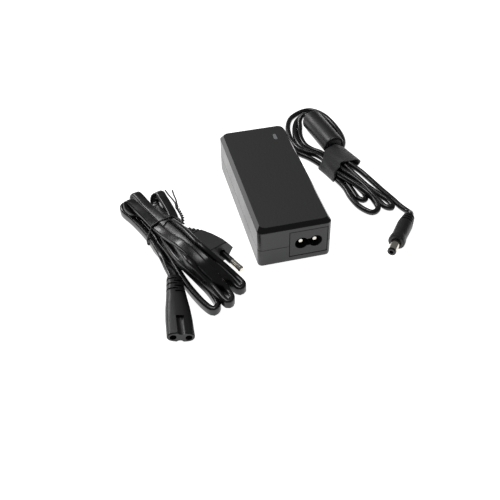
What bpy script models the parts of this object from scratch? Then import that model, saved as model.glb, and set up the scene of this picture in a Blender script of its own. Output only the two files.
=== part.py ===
"""Laptop power adapter with its output cord and its mains lead.

The adapter is a two-shell plastic brick with a figure-8 inlet on its near end, a window for its
status light on top, and a switching supply inside.  The output cord leaves the far end through a
strain relief, carries a ferrite, and is gathered by a hook-and-loop strap; it ends in a barrel plug.
The mains lead is a separate hank: a figure-8 connector, flat twin cord, a twist tie and a slim
two-pin plug.

Metres, +Z up.  The origin is the middle of the brick's underside, +Y runs from the inlet end to the
cord end, and +X is to the right as seen from the inlet end.
"""

import bmesh
import bpy
from math import atan2, cos, pi, radians, sin
from mathutils import Matrix, Vector

MM = 0.001

# Driving dimensions.
BRICK_WIDTH = 45 * MM
BRICK_LENGTH = 105 * MM
BRICK_HEIGHT = 29 * MM
SEAM_HEIGHT = 13 * MM
WALL = 1.8 * MM
GAP = 0.3 * MM
CORNER_RADIUS = 3 * MM
FOOT_RADIUS = 2.2 * MM
BEVEL_WIDTH = 2 * MM
BEVEL_DROP = 2.8 * MM

INLET_X = 8.3 * MM
INLET_Z = 14.1 * MM
INLET_WIDTH = 23.2 * MM
INLET_HEIGHT = 18.4 * MM
INLET_DEPTH = 19.5 * MM
SOCKET_DEPTH = 12.5 * MM
PIN_SPACING = 8.6 * MM
PIN_RADIUS = 1.2 * MM
SOCKET_LOBE_RADIUS = 4.1 * MM
SOCKET_WAIST = 5 * MM

WINDOW_X = 12.6 * MM
WINDOW_Y = 38.3 * MM
WINDOW_WIDTH = 3 * MM
WINDOW_LENGTH = 7 * MM

LABEL_WIDTH = 33 * MM
LABEL_LENGTH = 66 * MM
LABEL_RECESS = 0.8 * MM
LABEL_THICKNESS = 0.3 * MM

BOARD_WIDTH = 39 * MM
BOARD_LENGTH = 94 * MM
BOARD_THICKNESS = 1.6 * MM
BOARD_TOP = 6.7 * MM

CORD_DIAMETER = 3.8 * MM
EXIT_Z = 12 * MM
RELIEF_LENGTH = 15 * MM
FERRITE_DIAMETER = 15 * MM
FERRITE_LENGTH = 38 * MM
FERRITE_CENTRE = Vector((55.5, 64.5, 8.2)) * MM
FERRITE_HEADING = Vector((0.134, -0.991, 0))
STRAP_WIDTH = 20 * MM
STRAP_THICKNESS = 1.3 * MM
STRAP_CENTRE = Vector((57, 27, 0)) * MM
STRAP_HEADING = Vector((0.30, -0.954, 0))
OUTPUT_PLUG_START = Vector((79.7, -36.6, 5.2)) * MM
OUTPUT_PLUG_HEADING = Vector((-0.635, -0.772, 0))
BARREL_DIAMETER = 5.5 * MM
BARREL_LENGTH = 9.5 * MM

MAINS_THICKNESS = 3.6 * MM
CONNECTOR_START = Vector((-73.1, -53.0, 4.7)) * MM
CONNECTOR_HEADING = Vector((-0.088, -0.996, 0))
CONNECTOR_LENGTH = 46 * MM
CONNECTOR_ROLL = -12
PLUG_FACE = Vector((-50.4, -45.5, 7.2)) * MM
PLUG_HEADING = Vector((0.413, -0.911, 0))
PLUG_PIN_SPACING = 19 * MM
PLUG_PIN_LENGTH = 19 * MM

# The output cord's route before its bundle and after it, and the mains cord's last stretch.
CORD_TAIL_ROUTE = (
    (0, 68.2, 12), (0, 72.4, 12), (2.4, 77.4, 10.2), (7.4, 80.8, 6.6), (14, 81.8, 3.4),
    (20.5, 81, 2.3), (26.4, 77.8, 2.3), (30.2, 72.4, 2.4), (31.4, 67, 2.8),
)
PLUG_LEAD_ROUTE = (
    (71.9, 5.5, 3.0), (74.5, -3, 2.4), (77.4, -13, 2.3), (80, -22, 2.3), (82.6, -28.2, 2.8),
    (82.6, -33, 4.2), (80.2, -36.1, 5.1),
)
CONNECTOR_LEAD_ROUTE = ((-73.0, -52.5, 4.6), (-73.2, -46, 3.6), (-74.3, -38.5, 3.2), (-76.0, -31.2, 3.4))

# Outlines of the two gathered cords, seen from above.
OUTPUT_HANK_OUTLINE = (
    (44, 99), (57, 102.5), (66, 92), (69.8, 72), (69.6, 52), (68.6, 36), (69.4, 20), (72.6, 2),
    (74, -16), (71.5, -27), (63, -30.5), (54.5, -25), (50.5, -8), (46.6, 10), (41.8, 24), (34, 42),
    (29.8, 58), (33.4, 82),
)
MAINS_HANK_OUTLINE = (
    (-94.4, 9), (-93.5, 19), (-87, 29), (-78.5, 30), (-71, 28), (-65, 18), (-61.6, 0), (-56, -18),
    (-47.5, -42), (-37, -62), (-35.4, -72), (-42, -77), (-51, -84.5), (-57.5, -83), (-64, -68),
    (-71, -45), (-78.6, -25), (-86, -9),
)
HANK_FLOOR = 1.8 * MM
OUTPUT_HANK_TOP = 10.2 * MM
MAINS_HANK_TOP = 10.8 * MM
OVER_PLUG_TOP = 18.6 * MM

TIE_CENTRE = Vector((-71.2, -10, 0)) * MM
TIE_THICKNESS = 1.2 * MM
TIE_WIDTH = 1.6 * MM
TIE_REACH = 11.6 * MM

PARTS = bpy.data.collections.new("laptop_power_adapter")
CUTTERS = bpy.data.collections.new("cutters")


def clear_scene():
    """Remove what the scene holds and link the two collections."""
    for old in list(bpy.data.objects):
        bpy.data.objects.remove(old, do_unlink=True)
    bpy.context.scene.collection.children.link(PARTS)
    bpy.context.scene.collection.children.link(CUTTERS)


def finish(name, colour, roughness, metallic=0.0):
    """A Principled material in linear colour."""
    material = bpy.data.materials.new(name)
    material.use_nodes = True
    shader = material.node_tree.nodes["Principled BSDF"]
    shader.inputs["Base Color"].default_value = (*colour, 1)
    shader.inputs["Roughness"].default_value = roughness
    shader.inputs["Metallic"].default_value = metallic
    return material


def finishes():
    """Every material of the adapter, by name."""
    table = {
        "shell_plastic": ((0.030, 0.030, 0.031), 0.5, 0),
        "socket_plastic": ((0.025, 0.025, 0.026), 0.45, 0),
        "clear_plastic": ((0.55, 0.57, 0.60), 0.25, 0),
        "led_epoxy": ((0.75, 0.78, 0.80), 0.15, 0),
        "nickel": ((0.72, 0.70, 0.66), 0.25, 1),
        "label_film": ((0.55, 0.56, 0.57), 0.4, 0),
        "board_laminate": ((0.03, 0.16, 0.07), 0.45, 0),
        "glass_fuse": ((0.55, 0.60, 0.58), 0.1, 0),
        "choke_winding": ((0.45, 0.16, 0.05), 0.35, 0.6),
        "film_capacitor": ((0.75, 0.55, 0.06), 0.4, 0),
        "ceramic_disc": ((0.05, 0.20, 0.50), 0.4, 0),
        "epoxy_package": ((0.02, 0.02, 0.02), 0.5, 0),
        "can_sleeve": ((0.03, 0.04, 0.09), 0.3, 0),
        "heatsink_aluminium": ((0.70, 0.71, 0.72), 0.4, 1),
        "ferrite": ((0.05, 0.05, 0.055), 0.6, 0),
        "winding_tape": ((0.75, 0.62, 0.10), 0.35, 0),
        "insulation_film": ((0.65, 0.66, 0.62), 0.3, 0),
        "wire_red": ((0.45, 0.02, 0.02), 0.4, 0),
        "wire_black": ((0.015, 0.015, 0.015), 0.4, 0),
        "cord_pvc": ((0.012, 0.012, 0.013), 0.3, 0),
        "overmould_pvc": ((0.018, 0.018, 0.019), 0.45, 0),
        "loop_fabric": ((0.03, 0.03, 0.032), 0.9, 0),
        "tip_plastic": ((0.010, 0.010, 0.010), 0.4, 0),
        "tie_film": ((0.014, 0.014, 0.015), 0.35, 0),
    }
    return {name: finish(name, *values) for name, values in table.items()}


def add_piece(name, mesh, material, collection=PARTS):
    """A named object that holds the mesh and wears the material."""
    obj = bpy.data.objects.new(name, mesh)
    if material:
        mesh.materials.append(material)
    collection.objects.link(obj)
    return obj


def from_bmesh(name, bm, material):
    """A piece from a bmesh, with its faces turned outwards."""
    bmesh.ops.recalc_face_normals(bm, faces=bm.faces)
    mesh = bpy.data.meshes.new(name)
    bm.to_mesh(mesh)
    bm.free()
    return add_piece(name, mesh, material)


def box(name, low, high, material=None, rounding=0.0):
    """A box between two corners, with its edges rounded where asked."""
    low, high = Vector(low), Vector(high)
    size = high - low
    bm = bmesh.new()
    bmesh.ops.create_cube(bm, size=1, matrix=Matrix.Translation((low + high) / 2) @ Matrix.Diagonal((*size,
                                                                                                     1)))
    if rounding:
        bmesh.ops.bevel(bm, geom=bm.edges[:], offset=rounding, segments=2, profile=0.5, affect="EDGES")
    return from_bmesh(name, bm, material)


def along(start, heading, roll=0):
    """The transform that lays a shape's +Z on the heading, with its +X level before a roll in degrees."""
    forward = Vector(heading).normalized()
    side = Vector((0, 0, 1)).cross(forward)
    side = Vector((1, 0, 0)) if side.length < 1e-6 else side.normalized()
    up = forward.cross(side)
    rotation = Matrix((side, up, forward)).transposed().to_4x4()
    return Matrix.Translation(start) @ rotation @ Matrix.Rotation(radians(roll), 4, "Z")


def rod(name, start, end, radius, material=None, sides=20):
    """A straight round piece between two points."""
    start, end = Vector(start), Vector(end)
    length = (end - start).length
    bm = bmesh.new()
    bmesh.ops.create_cone(
        bm, cap_ends=True, segments=sides, radius1=radius, radius2=radius, depth=length,
        matrix=along((start + end) / 2, end - start),
    )
    return from_bmesh(name, bm, material)


def turned(name, start, heading, profile, material, sides=24):
    """A closed profile of (radius, distance), up its outer side, turned round the heading."""
    bm = bmesh.new()
    verts = [bm.verts.new((radius, 0, distance)) for radius, distance in reversed(profile)]
    for first, second in zip(verts, verts[1:] + verts[:1]):
        bm.edges.new((first, second))
    mesh = bpy.data.meshes.new(name)
    bm.to_mesh(mesh)
    bm.free()
    obj = add_piece(name, mesh, material)
    obj.matrix_world = along(start, heading)
    screw = obj.modifiers.new("turn", "SCREW")
    screw.steps = screw.render_steps = sides
    screw.use_merge_vertices = True
    screw.merge_threshold = 1e-5
    return obj


def as_mesh(obj):
    """The object with its curve or modifiers made into a mesh in world space, its caps welded."""
    bpy.context.view_layer.update()
    evaluated = obj.evaluated_get(bpy.context.evaluated_depsgraph_get())
    mesh = bpy.data.meshes.new_from_object(evaluated)
    name, world = obj.name, obj.matrix_world.copy()
    bpy.data.objects.remove(obj, do_unlink=True)
    bm = bmesh.new()
    bm.from_mesh(mesh)
    bm.transform(world)
    bmesh.ops.remove_doubles(bm, verts=bm.verts, dist=1e-6)
    bmesh.ops.recalc_face_normals(bm, faces=bm.faces)
    bm.to_mesh(mesh)
    bm.free()
    solid = bpy.data.objects.new(name, mesh)
    PARTS.objects.link(solid)
    return solid


def slab(name, outline, low_z, high_z, material=None, smooth=False):
    """A flat outline in millimetres, raised between two heights; smooth rounds it through its points."""
    curve = bpy.data.curves.new(name, "CURVE")
    curve.dimensions = "2D"
    curve.fill_mode = "BOTH"
    curve.extrude = (high_z - low_z) / 2
    if smooth:
        spline = curve.splines.new("BEZIER")
        spline.bezier_points.add(len(outline) - 1)
        for point, (x, y) in zip(spline.bezier_points, outline):
            point.co = (x * MM, y * MM, 0)
            point.handle_left_type = point.handle_right_type = "AUTO"
        curve.resolution_u = 3
    else:
        spline = curve.splines.new("POLY")
        spline.points.add(len(outline) - 1)
        for point, (x, y) in zip(spline.points, outline):
            point.co = (x * MM, y * MM, 0, 1)
    spline.use_cyclic_u = True
    obj = bpy.data.objects.new(name, curve)
    obj.location.z = (low_z + high_z) / 2
    PARTS.objects.link(obj)
    solid = as_mesh(obj)
    solid.data.materials.clear()
    if material:
        solid.data.materials.append(material)
    return solid


def stadium(width, length, steps=6):
    """A round-ended outline in millimetres, its length along Y."""
    radius = width / 2
    reach = length / 2 - radius
    arc = [pi * step / steps for step in range(steps + 1)]
    top = [(radius * cos(a), reach + radius * sin(a)) for a in arc]
    return top + [(-x, -y) for x, y in top]


def smooth_route(points, spacing):
    """Points a given spacing apart along a smooth curve through the route's own points."""
    route = [Vector(p) * MM for p in points]
    route = [2 * route[0] - route[1]] + route + [2 * route[-1] - route[-2]]
    dense = []
    for p0, p1, p2, p3 in zip(route, route[1:], route[2:], route[3:]):
        for step in range(20):
            t = step / 20
            dense.append(0.5 * (2 * p1 + (p2 - p0) * t + (2 * p0 - 5 * p1 + 4 * p2 - p3) * t ** 2
                                + (3 * p1 - p0 - 3 * p2 + p3) * t ** 3))
    dense.append(route[-2])
    total = sum((b - a).length for a, b in zip(dense, dense[1:]))
    count = max(2, round(total / spacing))
    placed, walked, goal = [dense[0]], 0.0, total / count
    for a, b in zip(dense, dense[1:]):
        walked += (b - a).length
        if walked >= goal * len(placed) - 1e-9 and len(placed) < count:
            placed.append(b)
    return placed + [dense[-1]]


def tube(name, points, diameter, material, spacing=None):
    """A round cord along a route given in millimetres."""
    curve = bpy.data.curves.new(name, "CURVE")
    curve.dimensions = "3D"
    curve.bevel_depth = diameter / 2
    curve.bevel_resolution = 2
    curve.use_fill_caps = True
    placed = smooth_route(points, spacing or 2 * diameter)
    spline = curve.splines.new("POLY")
    spline.points.add(len(placed) - 1)
    for point, place in zip(spline.points, placed):
        point.co = (*place, 1)
    obj = bpy.data.objects.new(name, curve)
    PARTS.objects.link(obj)
    solid = as_mesh(obj)
    solid.data.materials.clear()
    if material:
        solid.data.materials.append(material)
    return solid


def clearance_tube(name, points, diameter):
    """A cutter a little fatter than a cord, and a little longer at its last end."""
    last, before = Vector(points[-1]), Vector(points[-2])
    longer = points[:-1] + (tuple(last + 0.5 * (last - before).normalized()),)
    return tube(f"{name}_clearance", longer, diameter + 4 * GAP, None, 2 * diameter)


def loft(name, start, heading, sections, material=None, roll=0):
    """Closed skin through sections of (distance, outline), each outline a list of (side, up)."""
    frame = along(start, heading, roll)
    bm = bmesh.new()
    rings = [[bm.verts.new(frame @ Vector((side, up, distance))) for side, up in outline]
             for distance, outline in sections]
    count = len(rings[0])
    for first, second in zip(rings, rings[1:]):
        for i in range(count):
            j = (i + 1) % count
            bm.faces.new((first[i], first[j], second[j], second[i]))
    bm.faces.new(rings[0][::-1])
    bm.faces.new(rings[-1])
    return from_bmesh(name, bm, material)


def oval(half_width, half_height, count=20, squareness=2.6):
    """A soft-cornered oval outline."""
    outline = []
    for step in range(count):
        angle = 2 * pi * (step + 0.5) / count
        c, s = cos(angle), sin(angle)
        x = half_width * abs(c) ** (2 / squareness) * (1 if c > 0 else -1)
        y = half_height * abs(s) ** (2 / squareness) * (1 if s > 0 else -1)
        outline.append((x, y))
    return outline


def combine(obj, operation, others):
    """Cut other shapes from a piece, or join them to it, through Boolean modifiers."""
    for other in others:
        for collection in list(other.users_collection):
            collection.objects.unlink(other)
        CUTTERS.objects.link(other)
        other.hide_render = True
        other.display_type = "WIRE"
        modifier = obj.modifiers.new(operation.lower(), "BOOLEAN")
        modifier.operation = operation
        modifier.object = other
    return obj


def cut(obj, *others):
    return combine(obj, "DIFFERENCE", others)


def join(obj, *others):
    return combine(obj, "UNION", others)


def open_shell(name, low_z, high_z, open_low, material, finish_edges):
    """One half of the brick as an open surface, thickened inwards to the wall's thickness."""
    size = (BRICK_WIDTH, BRICK_LENGTH, high_z - low_z)
    centre = Vector((0, 0, (low_z + high_z) / 2))
    bm = bmesh.new()
    bmesh.ops.create_cube(bm, size=1, matrix=Matrix.Translation(centre) @ Matrix.Diagonal((*size, 1)))
    bm.normal_update()
    open_face = next(f for f in bm.faces if abs(f.normal.z) > 0.9 and (f.normal.z < 0) == open_low)
    bmesh.ops.delete(bm, geom=[open_face], context="FACES_ONLY")
    finish_edges(bm)
    mesh = bpy.data.meshes.new(name)
    bm.to_mesh(mesh)
    bm.free()
    obj = add_piece(name, mesh, material)
    solidify = obj.modifiers.new("wall", "SOLIDIFY")
    solidify.thickness = WALL
    solidify.offset = -1
    solidify.use_even_offset = True
    return obj


def round_edges(bm, chosen, radius, segments):
    bmesh.ops.bevel(bm, geom=chosen, offset=radius, segments=segments, profile=0.5, affect="EDGES")


def finish_top(bm):
    """A sloped glossy rim round a flat top, and rounded corners."""
    bm.normal_update()
    top = next(f for f in bm.faces if f.normal.z > 0.9)
    bmesh.ops.inset_region(bm, faces=[top], thickness=BEVEL_WIDTH, depth=BEVEL_DROP, use_even_offset=True)
    corners = [e for e in bm.edges if abs(e.verts[0].co.z - e.verts[1].co.z) > 1 * MM]
    round_edges(bm, corners, CORNER_RADIUS, 4)


def finish_bottom(bm):
    """Rounded corners and a rounded edge round the underside."""
    corners = [e for e in bm.edges if abs(e.verts[0].co.z - e.verts[1].co.z) > 1 * MM]
    round_edges(bm, corners, CORNER_RADIUS, 4)
    lowest = min(v.co.z for v in bm.verts)
    foot = [e for e in bm.edges if all(abs(v.co.z - lowest) < 1e-6 for v in e.verts)]
    round_edges(bm, foot, FOOT_RADIUS, 3)


def inlet_opening(name):
    """The opening that the inlet fills, with its gap."""
    half = INLET_WIDTH / 2 + GAP
    low_z = INLET_Z - INLET_HEIGHT / 2 - GAP
    high_z = INLET_Z + INLET_HEIGHT / 2 + GAP
    return box(name, (INLET_X - half, -BRICK_LENGTH, low_z), (INLET_X + half, -BRICK_LENGTH / 2 + 2 * WALL,
                                                              high_z))


def exit_hole(name):
    """The round hole that the strain relief's neck passes through."""
    return rod(name, (0, BRICK_LENGTH / 2 - 2 * WALL, EXIT_Z), (0, BRICK_LENGTH, EXIT_Z), 4.3 * MM, sides=24)


def build_covers(mats):
    top = open_shell("top_cover", SEAM_HEIGHT + GAP / 2, BRICK_HEIGHT - BEVEL_DROP, True,
                     mats["shell_plastic"], finish_top)
    window = slab("window_opening", stadium(WINDOW_WIDTH / MM, WINDOW_LENGTH / MM), BRICK_HEIGHT - 2 * WALL,
                  BRICK_HEIGHT + WALL)
    window.location = (WINDOW_X, WINDOW_Y, 0)
    cut(top, inlet_opening("top_inlet_opening"), exit_hole("top_exit_hole"), window)
    bottom = open_shell("bottom_cover", 0, SEAM_HEIGHT - GAP / 2, False, mats["shell_plastic"], finish_bottom)
    recess = box("label_recess", (-LABEL_WIDTH / 2 - GAP, -LABEL_LENGTH / 2 - GAP, -WALL),
                 (LABEL_WIDTH / 2 + GAP, LABEL_LENGTH / 2 + GAP, LABEL_RECESS))
    cut(bottom, inlet_opening("bottom_inlet_opening"), exit_hole("bottom_exit_hole"), recess)
    label_low = LABEL_RECESS - GAP - LABEL_THICKNESS
    box("rating_label", (-LABEL_WIDTH / 2, -LABEL_LENGTH / 2, label_low),
        (LABEL_WIDTH / 2, LABEL_LENGTH / 2, label_low + LABEL_THICKNESS), mats["label_film"])


def build_status_light(mats):
    lens = slab("led_window", stadium((WINDOW_WIDTH - 2 * GAP) / MM, (WINDOW_LENGTH - 2 * GAP) / MM),
                BOARD_TOP + 6.4 * MM, BRICK_HEIGHT - 0.05 * MM, mats["clear_plastic"])
    lens.location = (WINDOW_X, WINDOW_Y, 0)
    base = BOARD_TOP + GAP
    led = rod("status_led", (WINDOW_X, WINDOW_Y, base), (WINDOW_X, WINDOW_Y, base + 4 * MM), 1.5 * MM,
              mats["led_epoxy"], 16)
    rim = rod("status_led_rim", (WINDOW_X, WINDOW_Y, base), (WINDOW_X, WINDOW_Y, base + 1 * MM), 1.9 * MM,
              sides=16)
    join(led, rim)


def build_inlet(mats):
    """The figure-8 socket and its two pins, which reach down to the board."""
    front = -BRICK_LENGTH / 2
    body = box("inlet_body",
               (INLET_X - INLET_WIDTH / 2, front, INLET_Z - INLET_HEIGHT / 2),
               (INLET_X + INLET_WIDTH / 2, front + INLET_DEPTH, INLET_Z + INLET_HEIGHT / 2),
               mats["socket_plastic"], 0.5 * MM)
    cutters = [box("socket_waist",
                   (INLET_X - PIN_SPACING / 2, front - 5 * MM, INLET_Z - SOCKET_WAIST / 2),
                   (INLET_X + PIN_SPACING / 2, front + SOCKET_DEPTH - 0.01 * MM, INLET_Z + SOCKET_WAIST / 2))]
    for side, label in ((-1, "left"), (1, "right")):
        x = INLET_X + side * PIN_SPACING / 2
        cutters.append(rod(f"socket_lobe_{label}", (x, front - 5 * MM, INLET_Z),
                           (x, front + SOCKET_DEPTH, INLET_Z),
                           SOCKET_LOBE_RADIUS, sides=28))
        cutters.append(rod(f"pin_hole_{label}", (x, front - 5 * MM, INLET_Z),
                           (x, front + 2 * INLET_DEPTH, INLET_Z),
                           PIN_RADIUS + GAP, sides=16))
        pin = rod(f"inlet_pin_{label}", (x, front + 2.2 * MM, INLET_Z),
                  (x, front + INLET_DEPTH + 2.4 * MM, INLET_Z),
                  PIN_RADIUS, mats["nickel"], 16)
        leg_y = front + INLET_DEPTH + 1.4 * MM
        leg = box(f"pin_leg_{label}", (x - 0.8 * MM, leg_y - 0.6 * MM, BOARD_TOP + GAP),
                  (x + 0.8 * MM, leg_y + 0.6 * MM, INLET_Z))
        join(pin, leg)
    cut(body, *cutters)


def build_board(mats):
    half_width, half_length = BOARD_WIDTH / 2, BOARD_LENGTH / 2
    board = box("circuit_board", (-half_width, -half_length, BOARD_TOP - BOARD_THICKNESS),
                (half_width, half_length, BOARD_TOP), mats["board_laminate"])
    notch_half = INLET_WIDTH / 2 + 2 * GAP
    notch = box("board_notch", (INLET_X - notch_half, -BRICK_LENGTH, 0),
                (INLET_X + notch_half + 5 * MM, -BRICK_LENGTH / 2 + INLET_DEPTH + 2 * GAP, BRICK_HEIGHT))
    cut(board, notch)
    box("insulation_sheet", (-19.4 * MM, -48 * MM, 2.4 * MM), (19.4 * MM, 48 * MM, 2.8 * MM),
        mats["insulation_film"])


def on_board(height=0.0):
    """The height of a part that stands on the board."""
    return BOARD_TOP + GAP + height


def build_input_side(mats):
    """Fuse, filter, bridge, reservoir capacitor and switching transistor."""
    rod("fuse", (-16.6 * MM, -47 * MM, on_board(2.9 * MM)), (-16.6 * MM, -31.5 * MM, on_board(2.9 * MM)),
        2.5 * MM,
        mats["glass_fuse"], 16)
    box("x_capacitor", (-13 * MM, -47 * MM, on_board()), (-5.6 * MM, -31.5 * MM, on_board(13 * MM)),
        mats["film_capacitor"], 0.5 * MM)
    choke = box("line_filter_choke", (-19 * MM, -29.5 * MM, on_board()),
                (-3 * MM, -26.4 * MM, on_board(14 * MM)),
                mats["choke_winding"])
    far_flange = box("choke_far_flange", (-19 * MM, -19.6 * MM, on_board()),
                     (-3 * MM, -16.5 * MM, on_board(14 * MM)))
    coil = rod("choke_coil", (-11 * MM, -28 * MM, on_board(7 * MM)), (-11 * MM, -18 * MM, on_board(7 * MM)),
               5.6 * MM,
               sides=20)
    join(choke, coil, far_flange)
    rod("y_capacitor", (1.5 * MM, -18 * MM, on_board(4.2 * MM)), (1.5 * MM, -15 * MM, on_board(4.2 * MM)),
        3.8 * MM,
        mats["ceramic_disc"], 20)
    box("bridge_rectifier", (1 * MM, -25.5 * MM, on_board(1 * MM)),
        (15.5 * MM, -21.9 * MM, on_board(12 * MM)),
        mats["epoxy_package"], 0.4 * MM)
    rod("bulk_capacitor", (-11 * MM, -14 * MM, on_board(8.1 * MM)), (-11 * MM, 11.5 * MM, on_board(8.1 * MM)),
        8 * MM,
        mats["can_sleeve"], 28)
    box("primary_heatsink", (17.4 * MM, -22 * MM, on_board()), (18.9 * MM, 8 * MM, on_board(16.5 * MM)),
        mats["heatsink_aluminium"])
    transistor = box("switching_transistor", (12.6 * MM, -17 * MM, on_board(3 * MM)),
                     (17.1 * MM, -7 * MM, on_board(16 * MM)), mats["epoxy_package"], 0.3 * MM)
    legs = [box(f"transistor_leg_{i}", ((14.4) * MM, (-15 + 2.5 * i) * MM, on_board()),
                ((15.0) * MM, (-14 + 2.5 * i) * MM, on_board(4 * MM))) for i in range(3)]
    join(transistor, *legs)


def build_transformer(mats):
    """A ferrite core with two windows and the taped winding round its middle leg."""
    low, high = on_board(), on_board(17 * MM)
    core = box("transformer_core", (-12.5 * MM, 17.5 * MM, low), (12.5 * MM, 28.5 * MM, high),
               mats["ferrite"])
    windows = [box(f"core_window_{i}", (min(a, b) * MM, 10 * MM, low + 3.2 * MM),
                   (max(a, b) * MM, 40 * MM, high - 3.2 * MM))
               for i, (a, b) in enumerate(((-9.4, -3.6), (3.6, 9.4)))]
    cut(core, *windows)
    winding = box("transformer_winding", (-9 * MM, 13.6 * MM, low + 3.6 * MM),
                  (9 * MM, 32.4 * MM, high - 3.6 * MM),
                  mats["winding_tape"], 1.2 * MM)
    middle = box("winding_bore", (-3.95 * MM, 17.15 * MM, 0), (3.95 * MM, 28.85 * MM, BRICK_HEIGHT))
    cut(winding, middle)


def build_output_side(mats):
    """Optocoupler, controller, output rectifier, capacitors and choke, and the wires to the cord."""
    box("optocoupler", (12.4 * MM, 10 * MM, on_board()), (17.2 * MM, 14.8 * MM, on_board(3.4 * MM)),
        mats["epoxy_package"], 0.2 * MM)
    box("controller_chip", (-3 * MM, -3 * MM, 3.2 * MM), (3 * MM, 2 * MM, BOARD_TOP - BOARD_THICKNESS - GAP),
        mats["epoxy_package"], 0.2 * MM)
    box("output_heatsink", (-19 * MM, 14 * MM, on_board()), (-17.5 * MM, 36 * MM, on_board(16.5 * MM)),
        mats["heatsink_aluminium"])
    rectifier = box("output_rectifier", (-17.2 * MM, 18 * MM, on_board(3 * MM)),
                    (-13 * MM, 28 * MM, on_board(16 * MM)),
                    mats["epoxy_package"], 0.3 * MM)
    legs = [box(f"rectifier_leg_{i}", (-15.4 * MM, (20 + 2.5 * i) * MM, on_board()),
                (-14.8 * MM, (21 + 2.5 * i) * MM, on_board(4 * MM))) for i in range(3)]
    join(rectifier, *legs)
    for number, (x, y, radius) in enumerate(((-10, 41.5, 5), (3.4, 39.4, 4.5)), start=1):
        rod(f"output_capacitor_{number}", (x * MM, y * MM, on_board()), (x * MM, y * MM, on_board(16 * MM)),
            radius * MM, mats["can_sleeve"], 24)
    ring = rod("output_choke", (14.2 * MM, 26 * MM, on_board(6.2 * MM)),
               (18.6 * MM, 26 * MM, on_board(6.2 * MM)),
               5.8 * MM, mats["choke_winding"], 24)
    ring_hole = rod("choke_hole", (10 * MM, 26 * MM, on_board(6.2 * MM)),
                    (22 * MM, 26 * MM, on_board(6.2 * MM)),
                    2.4 * MM, sides=16)
    cut(ring, ring_hole)
    for label, side, wire in (("positive", -1, "wire_red"), ("negative", 1, "wire_black")):
        tube(f"output_wire_{label}",
             ((1.1 * side, 46.2, EXIT_Z / MM), (1.3 * side, 45.4, 11.8), (2.6 * side - 2, 44.9, 10.2),
              (2.6 * side - 2, 44.9, on_board() / MM + 0.1)),
             1.6 * MM, mats[wire], 1.5 * MM)


def build_strain_relief(mats):
    """Collar inside the wall, neck through it, and ribbed tapering sleeve outside."""
    wall = BRICK_LENGTH / 2
    start = Vector((0, wall - WALL - 3.3 * MM, EXIT_Z))
    inner, outer = 3.0 * MM, 3.0 * MM + WALL + 2 * GAP
    profile = [(0, 0), (5.4 * MM, 0), (5.4 * MM, inner), (4.0 * MM, inner), (4.0 * MM, outer)]
    ribs, rib_pitch = 5, (RELIEF_LENGTH - 1.5 * MM) / 5
    for rib in range(ribs):
        base = outer + 0.6 * MM + rib * rib_pitch
        radius = (4.4 - 0.28 * rib) * MM
        profile += [(radius, base), (radius, base + 0.62 * rib_pitch),
                    (radius - 0.9 * MM, base + 0.68 * rib_pitch), (radius - 0.9 * MM,
                                                                   base + 0.94 * rib_pitch)]
    profile += [(2.4 * MM, outer + RELIEF_LENGTH), (0, outer + RELIEF_LENGTH)]
    turned("output_strain_relief", start, (0, 1, 0), profile, mats["overmould_pvc"])


def build_ferrite(mats):
    """Moulded sleeve with the ferrite core inside, its end cap, and the cord that runs through."""
    half = FERRITE_LENGTH / 2
    bore = CORD_DIAMETER / 2 + GAP
    core_radius, core_half = 6.2 * MM, 15 * MM
    outer = FERRITE_DIAMETER / 2
    start = FERRITE_CENTRE - half * FERRITE_HEADING
    pocket = core_radius + GAP
    shell = [(outer - 1.6 * MM, 0), (outer - 0.5 * MM, 0.4 * MM), (outer, 1.6 * MM),
             (outer, FERRITE_LENGTH - 1 * MM),
             (outer - 0.4 * MM, FERRITE_LENGTH - 0.2 * MM), (outer - 0.8 * MM, FERRITE_LENGTH - 0.2 * MM),
             (pocket, FERRITE_LENGTH - 0.4 * MM), (pocket, half - core_half - GAP), (bore,
                                                                                     half - core_half - GAP),
             (bore, 0)]
    turned("ferrite_sleeve", start, FERRITE_HEADING, shell, mats["overmould_pvc"], 28)
    core = [(bore + 0.2 * MM, half - core_half), (core_radius, half - core_half),
            (core_radius, half + core_half),
            (bore + 0.2 * MM, half + core_half)]
    turned("ferrite_core", start, FERRITE_HEADING, core, mats["ferrite"], 24)
    cap = [(bore, half + core_half + GAP), (core_radius, half + core_half + GAP),
           (core_radius, FERRITE_LENGTH - 1 * MM), (core_radius - 1 * MM, FERRITE_LENGTH), (bore,
                                                                                            FERRITE_LENGTH)]
    turned("ferrite_end_cap", start, FERRITE_HEADING, cap, mats["overmould_pvc"], 24)
    reach = half + 0.4 * MM
    rod("cord_through_ferrite", FERRITE_CENTRE - reach * FERRITE_HEADING,
        FERRITE_CENTRE + reach * FERRITE_HEADING,
        CORD_DIAMETER / 2, mats["cord_pvc"], 12)


def block_along(name, centre, heading, half_length, half_width, low_z, high_z, rounding=0.0, material=None):
    """A box turned so that its length follows a level heading."""
    turn = Matrix.Rotation(atan2(heading[1], heading[0]), 4, "Z")
    block = box(name, (-half_length, -half_width, low_z), (half_length, half_width, high_z), material,
                rounding)
    block.data.transform(turn)
    block.location = (centre[0], centre[1], 0)
    return block


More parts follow.
